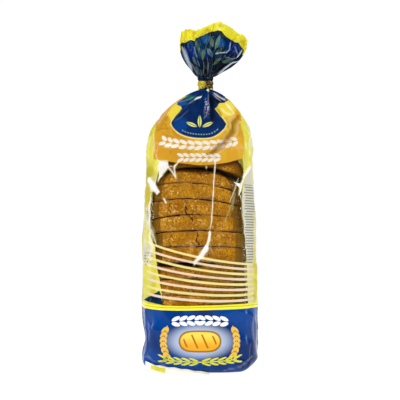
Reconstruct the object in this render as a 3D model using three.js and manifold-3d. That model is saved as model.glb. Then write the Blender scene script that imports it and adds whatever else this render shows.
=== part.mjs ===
// A sliced loaf in a tied bread bag, standing on the loaf's end. Millimetres, +Z up, front towards -Y.
// The origin is the middle of the flat base.
import * as THREE from "three";
import { mergeVertices } from "three/addons/utils/BufferGeometryUtils.js";
import Module from "manifold-3d";

const wasm = await Module();
wasm.setup();

// Bag body, wrapped round the loaf
const BAG_HALF_WIDTH = 50.8;
const BAG_HALF_DEPTH = 43;
const BODY_POWER = 3.6; // how square the section is: 2 is an ellipse
const BASE_INSET = 6; // the base is this much smaller all round than the body
const BASE_CORNER = 9; // height of the rounding above the base
const BASE_RINGS = [0, 0.8, 2.5, 5.4]; // heights of the rings in that rounding
const BODY_SWAY = -0.5; // the body leans this far to the left at half of its height
const TAPER_START_Z = 100;
const TOP_TAPER = 0.065; // share of the width lost from there up to the shoulder

// Loaf inside the bag: two heels and equal slices, which show as joints under the film
const LOAF_BASE = 2.5;
const HEEL_THICKNESS = 22;
const SLICE_PITCH = 13.6;
const SLICE_JOINTS = 12;
const LOWEST_JOINT_SEEN = 3; // the joints below this one are under the printed band
const JOINT_DEPTH = 1.3;
const JOINT_HALF_HEIGHT = 2.4;

// Shoulder, where the film gathers to the neck
const SHOULDER_Z = 190;
const SHOULDER_RINGS = 15;
const NECK_LOW_Z = 249;
const NECK_HIGH_Z = 261;
const NECK_X = 5;
const NECK_RADIUS = 5.4;
const NECK_SWING = 2; // how late the middle line swings over to the neck
const RING_CROWDING = 1.5; // how much closer the shoulder's rings are at the neck
const WIDE_ROUNDNESS = 0.67; // seen from the front the shoulder is a dome
const SIDE_TAPER = 1.35; // seen from the side it is a wedge

// Pleats of the gathered film. Places on the shoulder run from 0 at the loaf's top to 1 at the neck.
const PLEATS = 18;
const COLUMNS_PER_PLEAT = 4;
const NECK_PLEAT = 0.35;
const SHOULDER_PLEAT = 2.2;
const PLEAT_START = 0.45;
const PLEAT_CREST = 0.9;
const BROAD_FOLDS = 7;
const BROAD_DEPTH = 1.6;
const BROAD_TURN = 0.3; // where the broad folds start, in folds round the bag
const BROAD_RISE = [0.05, 0.4];
const BROAD_FALL = [0.6, 0.95];
const SMALLEST_PLEAT = 0.55; // as a share of the largest

// Fan of loose film above the tie, as polar lengths and angles from the top of the neck.
// Places across the fan run from -1 at its left end to 1 at its right end.
const FAN_LENGTH = 50;
const FAN_LEFT_DROP = 5; // the left third is this much shorter
const FAN_RIGHT_DROP = 2.5; // the right end too, by this
const FAN_RIGHT_START = 0.6;
const FAN_LEFT_START = 0.35; // where that drop is complete, left of the middle
const FAN_CORNER_DROP = 5; // and both ends are shorter again by this
const FAN_CORNER_START = 0.88;
const FAN_LEAN_LOW = THREE.MathUtils.degToRad(7);
const FAN_LEAN_HIGH = THREE.MathUtils.degToRad(12);
const FAN_SPREAD_LOW = THREE.MathUtils.degToRad(60);
const FAN_SPREAD_HIGH = THREE.MathUtils.degToRad(38);
const FAN_BULGE = THREE.MathUtils.degToRad(5); // its two sides bow out by this at half of its length
const FAN_HALF_THICKNESS = 8.5;
const FAN_THICK_AT = 0.5; // share of the length where that thickness is reached
const FAN_PLEATED_AT = 0.7; // and where its pleats are full
const FAN_PLEAT = 3.4;
const FAN_NOTCH = 3.5; // the mouth dips where its left part is folded over
const FAN_NOTCH_AT = -0.5;
const FAN_NOTCH_HALF_WIDTH = 0.16;
const RIM_WAVE = 0.8; // the pleats stand this far up and down at the mouth
const FAN_RINGS = [0, 0.05, 0.12, 0.22, 0.36, 0.52, 0.7, 0.86, 1];

// Seal of the bag's bottom, which lies on the ground in front of the base
const SEAL_LEFT = -41.5;
const SEAL_RIGHT = 6;
const SEAL_CORNER_X = 13.5; // the slanting corner at its left
const SEAL_CORNER_Y = 25;
const SEAL_REACH = 54;
const SEAL_REACH_RIGHT = 49;
const SEAL_THICKNESS = 1.2;

// Tie round the neck, measured from the neck's middle at the tie's height
const TIE_Z = 252.6;
const TIE_GAP = 0.35;
const TIE_BAND = 1;
const TIE_HEIGHT = 6.2;
const TIE_SOFTENING = 0.3;
const TIE_TILT = THREE.MathUtils.degToRad(-4);
const TIE_SIDES = 36;
const TAIL_START = new THREE.Vector3(2.2, -6.6, 0.8);
const TAIL_END = new THREE.Vector3(3.4, -12, -8.2);
const TAIL_WIDTH = 3.4;
const TAIL_THICKNESS = 1.3;
const TAIL_TURNS = 0.8;
const TAIL_STEPS = 12;

const COLUMNS = PLEATS * COLUMNS_PER_PLEAT;
const { clamp, lerp, smoothstep } = THREE.MathUtils;

// A repeatable number from 0 to 1 for each whole number.
function scatter(index) {
  const wave = Math.sin(index * 127.1 + 311.7) * 43758.5453;
  return wave - Math.floor(wave);
}

// A zigzag from -1 to 1 with its first crest at 0 turns.
function zigzag(turns) {
  const phase = turns - Math.floor(turns);
  return Math.abs(phase - 0.5) * 4 - 1;
}

// How far up the shoulder a height is: 0 at the loaf's top and below, 1 at the neck.
function upShoulder(z) {
  return clamp((z - SHOULDER_Z) / (NECK_LOW_Z - SHOULDER_Z), 0, 1);
}

function centreX(z) {
  const sway = BODY_SWAY * Math.sin(Math.PI * clamp(z / NECK_LOW_Z, 0, 1));
  return sway + NECK_X * upShoulder(z) ** NECK_SWING;
}

// Half width, half depth and squareness of the bag at a height.
function section(z) {
  const up = upShoulder(z);
  const taper = 1 - TOP_TAPER * smoothstep(z, TAPER_START_Z, SHOULDER_Z);
  const corner = z < BASE_CORNER ? BASE_INSET * (1 - Math.sqrt(1 - (1 - z / BASE_CORNER) ** 2)) : 0;
  const wide = (1 - up ** 2) ** WIDE_ROUNDNESS;
  const deep = 1 - up ** SIDE_TAPER;
  return {
    halfWidth: lerp(NECK_RADIUS, BAG_HALF_WIDTH * taper - corner, wide),
    halfDepth: lerp(NECK_RADIUS, BAG_HALF_DEPTH - corner, deep),
    power: lerp(BODY_POWER, 2, up),
  };
}

// Height of a column's pleat at its crest, from -1 in its valley to 1.
function pleatAt(column) {
  const size = lerp(SMALLEST_PLEAT, 1, scatter(Math.floor(column / COLUMNS_PER_PLEAT)));
  return size * zigzag(column / COLUMNS_PER_PLEAT);
}

// How far the gathered film stands out of its section at a column.
function gather(column, z) {
  const up = upShoulder(z);
  const atNeck = smoothstep(up, PLEAT_CREST, 1);
  const atShoulder = smoothstep(up, PLEAT_START, PLEAT_CREST) * (1 - atNeck);
  const broad = smoothstep(up, ...BROAD_RISE) * (1 - smoothstep(up, ...BROAD_FALL));
  return (
    (NECK_PLEAT * atNeck + SHOULDER_PLEAT * atShoulder) * pleatAt(column) +
    BROAD_DEPTH * broad * zigzag((column / COLUMNS) * BROAD_FOLDS + BROAD_TURN)
  );
}

// The film dips a little at each joint between slices, on the loaf's front and sides.
function jointDip(z, sine) {
  const joint = (z - LOAF_BASE - HEEL_THICKNESS) / SLICE_PITCH;
  const nearest = Math.round(joint);
  if (nearest < LOWEST_JOINT_SEEN || nearest > SLICE_JOINTS - 1) return 0;
  const away = (Math.abs(joint - nearest) * SLICE_PITCH) / JOINT_HALF_HEIGHT;
  return JOINT_DEPTH * Math.max(0, 1 - away) * smoothstep(-sine, -0.2, 0.6);
}

// A point of the bag below the tie.
function bodyPoint(column, z) {
  const angle = (column / COLUMNS) * 2 * Math.PI;
  const cosine = Math.cos(angle);
  const sine = Math.sin(angle);
  const { halfWidth, halfDepth, power } = section(z);
  const across = Math.abs(cosine / halfWidth) ** power + Math.abs(sine / halfDepth) ** power;
  const radius = across ** (-1 / power) + gather(column, z) - jointDip(z, sine);
  return new THREE.Vector3(centreX(z) + radius * cosine, radius * sine, z);
}

// Length of the fan at a place across it.
function fanLength(side) {
  const leftDrop = FAN_LEFT_DROP * smoothstep(-side, 0, FAN_LEFT_START);
  const rightDrop = FAN_RIGHT_DROP * smoothstep(side, 0, FAN_RIGHT_START);
  const notch = FAN_NOTCH * Math.max(0, 1 - Math.abs(side - FAN_NOTCH_AT) / FAN_NOTCH_HALF_WIDTH);
  const cornerDrop = FAN_CORNER_DROP * smoothstep(Math.abs(side), FAN_CORNER_START, 1);
  return FAN_LENGTH - leftDrop - rightDrop - notch - cornerDrop;
}

// A point of the fan. along runs from 0 at the neck to 1 at the bag's mouth.
function fanPoint(column, along) {
  const angle = (column / COLUMNS) * 2 * Math.PI;
  const side = Math.cos(angle);
  const layer = Math.sin(angle);
  const lean = lerp(FAN_LEAN_LOW, FAN_LEAN_HIGH, along);
  const spread = lerp(FAN_SPREAD_LOW, FAN_SPREAD_HIGH, along);
  const bulge = FAN_BULGE * 4 * along * (1 - along);
  const direction = lean + (spread + bulge) * side;
  const pleat = pleatAt(column);
  const reach = along * (fanLength(side) + RIM_WAVE * pleat);
  const thickness = lerp(NECK_RADIUS, FAN_HALF_THICKNESS, smoothstep(along, 0, FAN_THICK_AT));
  const pleatDepth = lerp(NECK_PLEAT, FAN_PLEAT, smoothstep(along, 0, FAN_PLEATED_AT));
  return new THREE.Vector3(
    NECK_X + NECK_RADIUS * side + reach * Math.sin(direction),
    (thickness + pleatDepth * pleat) * layer,
    NECK_HIGH_Z + reach * Math.cos(direction),
  );
}

// Heights of the body's rings: closer together where the film curves, dips or gathers.
function bodyHeights() {
  const heights = [...BASE_RINGS, BASE_CORNER];
  for (let joint = 0; joint < SLICE_JOINTS; joint += 1) {
    const z = LOAF_BASE + HEEL_THICKNESS + joint * SLICE_PITCH;
    const dips = joint >= LOWEST_JOINT_SEEN ? [-JOINT_HALF_HEIGHT, 0, JOINT_HALF_HEIGHT] : [0];
    dips.forEach((offset) => heights.push(z + offset));
  }
  for (let ring = 0; ring < SHOULDER_RINGS; ring += 1) {
    const left = (1 - ring / SHOULDER_RINGS) ** RING_CROWDING;
    heights.push(lerp(NECK_LOW_Z, SHOULDER_Z, left));
  }
  heights.push(NECK_LOW_Z, TIE_Z);
  return heights;
}

function toSolid(geometry) {
  const bare = geometry.clone();
  bare.deleteAttribute("normal");
  bare.deleteAttribute("uv");
  const merged = mergeVertices(bare, 1e-4);
  return new wasm.Manifold(
    new wasm.Mesh({
      numProp: 3,
      vertProperties: new Float32Array(merged.attributes.position.array),
      triVerts: new Uint32Array(merged.index.array),
    }),
  );
}

function toGeometry(solid) {
  const mesh = solid.getMesh();
  const geometry = new THREE.BufferGeometry();
  geometry.setAttribute("position", new THREE.BufferAttribute(mesh.vertProperties, 3));
  geometry.setIndex(new THREE.BufferAttribute(mesh.triVerts, 1));
  geometry.computeVertexNormals();
  return geometry;
}

// Closed solid through rings of points. The two end rings are closed from their fronts to their backs.
function solidFromRings(rings) {
  const faces = [];
  for (let ring = 0; ring + 1 < rings.length; ring += 1) {
    for (let column = 0; column < COLUMNS; column += 1) {
      const next = (column + 1) % COLUMNS;
      const low = ring * COLUMNS;
      const high = low + COLUMNS;
      faces.push(low + column, low + next, high + next, low + column, high + next, high + column);
    }
  }
  const top = (rings.length - 1) * COLUMNS;
  for (let column = 0; column < COLUMNS / 2; column += 1) {
    const opposite = (COLUMNS - column) % COLUMNS;
    const oppositeNext = COLUMNS - column - 1;
    const strip = [
      [column, column + 1, oppositeNext],
      [column, oppositeNext, opposite],
    ];
    for (const corners of strip.filter((triangle) => new Set(triangle).size === 3)) {
      faces.push(...[...corners].reverse());
      faces.push(...corners.map((corner) => top + corner));
    }
  }
  const geometry = new THREE.BufferGeometry().setFromPoints(rings.flat());
  geometry.setIndex(faces);
  return toSolid(geometry);
}

// The flattened bottom seal, from under the base to the ground in front of it.
function sealSolid() {
  const outline = new THREE.Shape([
    new THREE.Vector2(SEAL_LEFT, -BAG_HALF_DEPTH / 2),
    new THREE.Vector2(SEAL_LEFT, -SEAL_REACH + SEAL_CORNER_Y),
    new THREE.Vector2(SEAL_LEFT + SEAL_CORNER_X, -SEAL_REACH),
    new THREE.Vector2(SEAL_RIGHT, -SEAL_REACH_RIGHT),
    new THREE.Vector2(SEAL_RIGHT, -BAG_HALF_DEPTH / 2),
  ]);
  return toSolid(new THREE.ExtrudeGeometry(outline, { depth: SEAL_THICKNESS, bevelEnabled: false }));
}

function bagSolid() {
  const columns = Array.from({ length: COLUMNS }, (_, column) => column);
  const body = bodyHeights().map((z) => columns.map((column) => bodyPoint(column, z)));
  const fan = FAN_RINGS.map((along) => columns.map((column) => fanPoint(column, along)));
  return solidFromRings([...body, ...fan]).add(sealSolid());
}

// A ring of rectangular section with softened edges, tilted round the neck.
function bandSolid() {
  const inner = NECK_RADIUS + NECK_PLEAT + TIE_GAP;
  const outer = inner + TIE_BAND;
  const half = TIE_HEIGHT / 2;
  const profile = [
    new THREE.Vector2(inner, -half),
    new THREE.Vector2(outer - TIE_SOFTENING, -half),
    new THREE.Vector2(outer, -half + TIE_SOFTENING),
    new THREE.Vector2(outer, half - TIE_SOFTENING),
    new THREE.Vector2(outer - TIE_SOFTENING, half),
    new THREE.Vector2(inner, half),
    new THREE.Vector2(inner, -half),
  ];
  return toSolid(new THREE.LatheGeometry(profile, TIE_SIDES).rotateX(Math.PI / 2).rotateY(TIE_TILT));
}

// The twisted ends of the tie: a flat strip that turns about its own line as it comes down the front.
function tailSolid() {
  const line = new THREE.LineCurve3(TAIL_START, TAIL_END);
  const forward = line.getTangent(0);
  const points = [];
  for (let step = 0; step <= TAIL_STEPS; step += 1) {
    const along = step / TAIL_STEPS;
    const turn = along * TAIL_TURNS * 2 * Math.PI;
    const sideways = new THREE.Vector3(1, 0, 0).applyAxisAngle(forward, turn);
    const upright = new THREE.Vector3().crossVectors(forward, sideways).normalize();
    for (const [across, through] of [[-1, -1], [1, -1], [1, 1], [-1, 1]]) {
      points.push(
        line
          .getPoint(along)
          .addScaledVector(sideways, (across * TAIL_WIDTH) / 2)
          .addScaledVector(upright, (through * TAIL_THICKNESS) / 2),
      );
    }
  }
  const faces = [0, 2, 1, 0, 3, 2];
  for (let step = 0; step < TAIL_STEPS; step += 1) {
    for (let corner = 0; corner < 4; corner += 1) {
      const low = step * 4 + corner;
      const next = step * 4 + ((corner + 1) % 4);
      faces.push(low, next, next + 4, low, next + 4, low + 4);
    }
  }
  const last = TAIL_STEPS * 4;
  faces.push(last, last + 1, last + 2, last, last + 2, last + 3);
  const geometry = new THREE.BufferGeometry().setFromPoints(points);
  geometry.setIndex(faces);
  return toSolid(geometry);
}

const bagMaterial = new THREE.MeshStandardMaterial({ color: 0xe0b040, roughness: 0.3, metalness: 0 });
const tieMaterial = new THREE.MeshStandardMaterial({ color: 0xc9b01e, roughness: 0.45, metalness: 0 });

const bag = new THREE.Mesh(toGeometry(bagSolid()), bagMaterial);
bag.name = "bag";

const tie = new THREE.Mesh(toGeometry(bandSolid().add(tailSolid())), tieMaterial);
tie.name = "tie";
tie.position.set(NECK_X, 0, TIE_Z);

const loafInBag = new THREE.Group();
loafInBag.name = "loaf_in_bread_bag";
loafInBag.add(bag, tie);

export default loafInBag;
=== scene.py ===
import math

import bpy
import numpy as np
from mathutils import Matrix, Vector


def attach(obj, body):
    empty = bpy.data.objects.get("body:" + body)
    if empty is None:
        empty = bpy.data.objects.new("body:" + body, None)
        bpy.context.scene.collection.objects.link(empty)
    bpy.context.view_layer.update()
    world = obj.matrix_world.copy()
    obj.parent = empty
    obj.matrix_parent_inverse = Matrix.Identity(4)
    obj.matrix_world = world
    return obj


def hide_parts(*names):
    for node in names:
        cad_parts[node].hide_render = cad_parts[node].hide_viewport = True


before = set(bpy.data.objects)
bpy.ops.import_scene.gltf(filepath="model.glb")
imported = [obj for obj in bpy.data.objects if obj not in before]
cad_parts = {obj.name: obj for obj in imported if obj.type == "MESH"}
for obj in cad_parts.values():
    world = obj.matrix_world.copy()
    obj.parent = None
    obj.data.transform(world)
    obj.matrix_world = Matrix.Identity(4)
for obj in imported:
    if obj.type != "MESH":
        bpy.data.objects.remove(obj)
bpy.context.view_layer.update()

MM = 0.001

# Thickness of the seal and the tape, in metres
SHEET_THICKNESS = 0.0003

# Bag body and shoulder
BAG_HALF_WIDTH = 50.8
BAG_HALF_DEPTH = 43
BODY_POWER = 3.6
BASE_INSET = 6
BASE_CORNER = 9
CORNER_LIFT = 5.5
BODY_SWAY = -0.5
TAPER_START_Z = 100
TOP_TAPER = 0.065
SHOULDER_Z = 190
NECK_LOW_Z = 249
NECK_HIGH_Z = 261
NECK_X = 5
NECK_RADIUS = 5.4
NECK_SWING = 2
WIDE_ROUNDNESS = 0.67
SIDE_TAPER = 1.35
TIE_Z = 252.6
TIE_RADIUS = 5.9
TAPE_HALF_WIDTH = 1.75

# Folds of the body film: how far each kind stands out or sinks in
FINE_GATHER = 1.3
BROAD_GATHER = 3.2
LOOSE_FOLD = 1.6
LOOSE_WRINKLE = 0.6
SIDE_SLACK = 1.2
SURFACE_RIPPLE = 0.3
FOOT_FOLD = 0.9
BASE_FOLD = 1
JOINT_DENT = 0.7
LEFT_DENT = 2.8
DENT_Z = 27
DENT_HALF_HEIGHT = 13

# Fan above the tie
FAN_LENGTH = 50
FAN_LEFT_DROP = 5
FAN_RIGHT_DROP = 2.5
FAN_CORNER_DROP = 5
FAN_LEAN = (math.radians(7), math.radians(12))
FAN_SPREAD = (math.radians(60), math.radians(38))
FAN_BULGE = math.radians(5)
FAN_HALF_DEPTH = 7
FAN_PLEAT_DEPTH = 2.6
FAN_FINE_DEPTH = 0.9
NECK_CRUMPLE = 1.1
FAN_NOTCH = 3.5
FAN_NOTCH_AT = -0.5
FAN_NOTCH_HALF_WIDTH = 0.16

# Sliced loaf
LOAF_X = -1.5
LOAF_HALF_WIDTH = 41
LOAF_HALF_DEPTH = 40.5
LOAF_SQUARENESS = 5
LOAF_BASE = 2.5
HEEL_THICKNESS = 22
SLICE_PITCH = 13.6
SLICE_JOINTS = 12
LOAF_TOP = 191
LOAF_TAPER_Z = 125
LOAF_TAPER_END_Z = 170
LOAF_TAPER_LENGTH = 42
LOAF_TAPER = 0.085
LOAF_TAPER_POWER = 1.5
LOAF_THINNING = 0.04
FOOT_HEIGHT = 16
FOOT_NARROWING = 0.1
FOOT_THINNING = 0.06
GAP_JOINT = 5
FRONT_SLUMP = 3.6
BOW_START_Z = 96
BOW_RATE = 0.09
HEEL_NARROWING = 0.1
HEEL_HANG = 2.5
HEEL_SHIFT = (3.8, 0)
HEEL_TILT = (-0.05, 0)
HEEL_DOME = 0.25
SLICE_DOME = 0.35
CRUST_BEVEL = 1.25
CRACK_DEPTH = 1.7

# Plain fields on the back of the body film: half widths and heights
BACK_WINDOW_X = 41
BACK_WINDOW_LOW = 50
BACK_WINDOW_HIGH = 187
BACK_GOLD_X = 37
BACK_GOLD_Z = 176
BACK_BLUE_Z = 236

# Print on the body film
UPPER_EAR_Z = 192.8
LOWER_EAR_Z = 182.4
DASH_INSET = 3.3
DASH_PITCH = 2.3
RULE_PITCH = 2.3
STRANDS = 8
STRAND_SPAN = 46
STRAND_PITCH = 5.2
TOP_STRAND_Z = 97.5
LINE_FOOT = 53
LINE_TOP = 56.9
TOP_EAR_Z = 44.6
LOAF_PRINT_Z = 27
SIDE_EAR_X = 31
GARLAND_Z = 9.8

# Gloss of the clear film
FILM_IOR = 1.22
MOST_GLOSS = 0.4

# Camera
CAMERA_DISTANCE = 0.69
CAMERA_HEIGHT = 0.11
CAMERA_PITCH = math.radians(3.2)
FOCAL_PIXELS = 762.8
IMAGE_PIXELS = 400
SENSOR_MM = 36


def lerp(a, b, t):
    return a + (b - a) * t


def curved(a, b, c, t):
    """From a to c on a curve that b pulls towards itself."""
    return lerp(lerp(a, b, t), lerp(b, c, t), t)


def smoothstep(value, low, high):
    t = np.clip((value - low) / (high - low), 0, 1)
    return t * t * (3 - 2 * t)


def ripple(u, v, seed):
    """Smooth noise from -1 to 1 over a plane, with features one unit across."""
    size = 64
    table = np.random.RandomState(seed).uniform(-1, 1, (size, size))
    column = np.floor(u).astype(int)
    row = np.floor(v).astype(int)
    across = u - column
    along = v - row
    across = across * across * (3 - 2 * across)
    along = along * along * (3 - 2 * along)
    low = lerp(table[row % size, column % size], table[row % size, (column + 1) % size], across)
    high = lerp(
        table[(row + 1) % size, column % size],
        table[(row + 1) % size, (column + 1) % size],
        across,
    )
    return lerp(low, high, along)


def ridges(u, v, seed):
    """Sharp-crested noise from 0 to 1: thin crests and wide valleys."""
    return (1 - np.abs(ripple(u, v, seed))) ** 3


def line_distance(x, z, points):
    """Distance to a broken line, and the share of its length at the nearest place."""
    lengths = [math.dist(a, b) for a, b in zip(points, points[1:])]
    gone = 0
    best = np.full_like(x, 1e9)
    place = np.zeros_like(x)
    for (ax, az), (bx, bz), length in zip(points, points[1:], lengths):
        t = np.clip(((x - ax) * (bx - ax) + (z - az) * (bz - az)) / length**2, 0, 1)
        away = np.hypot(x - lerp(ax, bx, t), z - lerp(az, bz, t))
        nearer = away < best
        best = np.where(nearer, away, best)
        place = np.where(nearer, (gone + t * length) / sum(lengths), place)
        gone += length
    return best, place


def inside_depth(x, z, corners):
    """Distance to a closed outline: positive inside it, negative outside."""
    away, _ = line_distance(x, z, corners + corners[:1])
    inside = np.zeros(x.shape, dtype=bool)
    for (ax, az), (bx, bz) in zip(corners, corners[1:] + corners[:1]):
        if az != bz:
            crosses = (az > z) != (bz > z)
            inside ^= crosses & (x < ax + (z - az) * (bx - ax) / (bz - az))
    return np.where(inside, away, -away)


def leaf_depth(x, z, foot, tip, half_width):
    """Depth inside a pointed leaf that runs from its foot to its tip."""
    length = math.dist(foot, tip)
    dx = (tip[0] - foot[0]) / length
    dz = (tip[1] - foot[1]) / length
    along = ((x - foot[0]) * dx + (z - foot[1]) * dz) / length
    off = np.abs((x - foot[0]) * dz - (z - foot[1]) * dx)
    width = half_width * np.sin(np.pi * np.clip(along, 0, 1)) ** 0.8
    beyond = np.maximum(-along, along - 1).clip(0) * length
    return width - off - beyond


def leaves_depth(x, z, leaves):
    """Depth inside the nearest of several leaves."""
    return np.max([leaf_depth(x, z, *leaf) for leaf in leaves], axis=0).clip(-9)


def rounded(points, passes=2):
    """The same open line with its corners cut."""
    for _ in range(passes):
        cut = [points[0]]
        for a, b in zip(points, points[1:]):
            cut.append((lerp(a[0], b[0], 0.25), lerp(a[1], b[1], 0.25)))
            cut.append((lerp(a[0], b[0], 0.75), lerp(a[1], b[1], 0.75)))
        cut.append(points[-1])
        points = cut
    return points


def up_shoulder(z):
    return np.clip((z - SHOULDER_Z) / (NECK_LOW_Z - SHOULDER_Z), 0, 1)


def centre_x(z):
    sway = BODY_SWAY * np.sin(np.pi * np.clip(z / NECK_LOW_Z, 0, 1))
    return sway + NECK_X * up_shoulder(z) ** NECK_SWING


def section(z):
    """Half width, half depth and squareness of the bag at a height."""
    up = up_shoulder(z)
    taper = 1 - TOP_TAPER * smoothstep(z, TAPER_START_Z, SHOULDER_Z)
    corner = BASE_INSET * (1 - np.sqrt(1 - np.clip(1 - z / BASE_CORNER, 0, 1) ** 2))
    wide = (1 - up**2) ** WIDE_ROUNDNESS
    deep = 1 - up**SIDE_TAPER
    half_width = lerp(NECK_RADIUS, BAG_HALF_WIDTH * taper - corner, wide)
    half_depth = lerp(NECK_RADIUS, BAG_HALF_DEPTH - corner, deep)
    return half_width, half_depth, lerp(BODY_POWER, 2, up)


def section_radius(angle, z):
    half_width, half_depth, power = section(z)
    across = np.abs(np.cos(angle) / half_width) ** power
    across = across + np.abs(np.sin(angle) / half_depth) ** power
    return across ** (-1 / power)


def spread_angles(count, front_weight):
    """Angles round the bag from +X, closer together at the front."""
    fine = np.linspace(0, 2 * np.pi, 4001)
    weight = 1 + front_weight * 0.5 * (1 - np.sin(fine))
    total = np.concatenate([[0], np.cumsum((weight[1:] + weight[:-1]) / 2)])
    return np.interp(np.arange(count) / count * total[-1], total, fine)


def print_across(angle):
    """Distance round the film from the nearer of the front's and the back's middle line."""
    fine = np.linspace(0, 0.5 * np.pi, 801)
    radius = section_radius(fine, np.array(TAPER_START_Z))
    x = radius * np.cos(fine)
    y = radius * np.sin(fine)
    steps = np.hypot(np.diff(x), np.diff(y))
    from_side = np.concatenate([[0], np.cumsum(steps)])
    folded = np.arcsin(np.clip(np.abs(np.sin(angle)), 0, 1))
    away = from_side[-1] - np.interp(folded, fine, from_side)
    return np.sign(np.cos(angle)) * away


def grid_faces(rows, columns, closed=True, start=0):
    """Four-cornered faces over a grid of points, closed to a tube or open at its sides."""
    row = start + np.arange(rows - 1)[:, None] * columns
    column = np.arange(columns if closed else columns - 1)[None, :]
    following = (column + 1) % columns
    corners = [row + column, row + following, row + columns + following, row + columns + column]
    return np.stack(np.broadcast_arrays(*corners), -1).reshape(-1, 4).tolist()


def new_piece(name, points, faces, material, values=None):
    """A smooth mesh piece from points in millimetres, with named numbers at its points."""
    mesh = bpy.data.meshes.new(name)
    mesh.from_pydata((np.asarray(points).reshape(-1, 3) * MM).tolist(), [], faces)
    for label, numbers in (values or {}).items():
        attribute = mesh.attributes.new(label, "FLOAT", "POINT")
        attribute.data.foreach_set("value", np.asarray(numbers, dtype=np.float32).reshape(-1))
    mesh.polygons.foreach_set("use_smooth", [True] * len(mesh.polygons))
    mesh.materials.append(material)
    mesh.update()
    piece = bpy.data.objects.new(name, mesh)
    bpy.context.collection.objects.link(piece)
    return piece


def thickened(piece):
    piece.modifiers.new("thickness", "SOLIDIFY").thickness = SHEET_THICKNESS
    return piece


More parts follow.
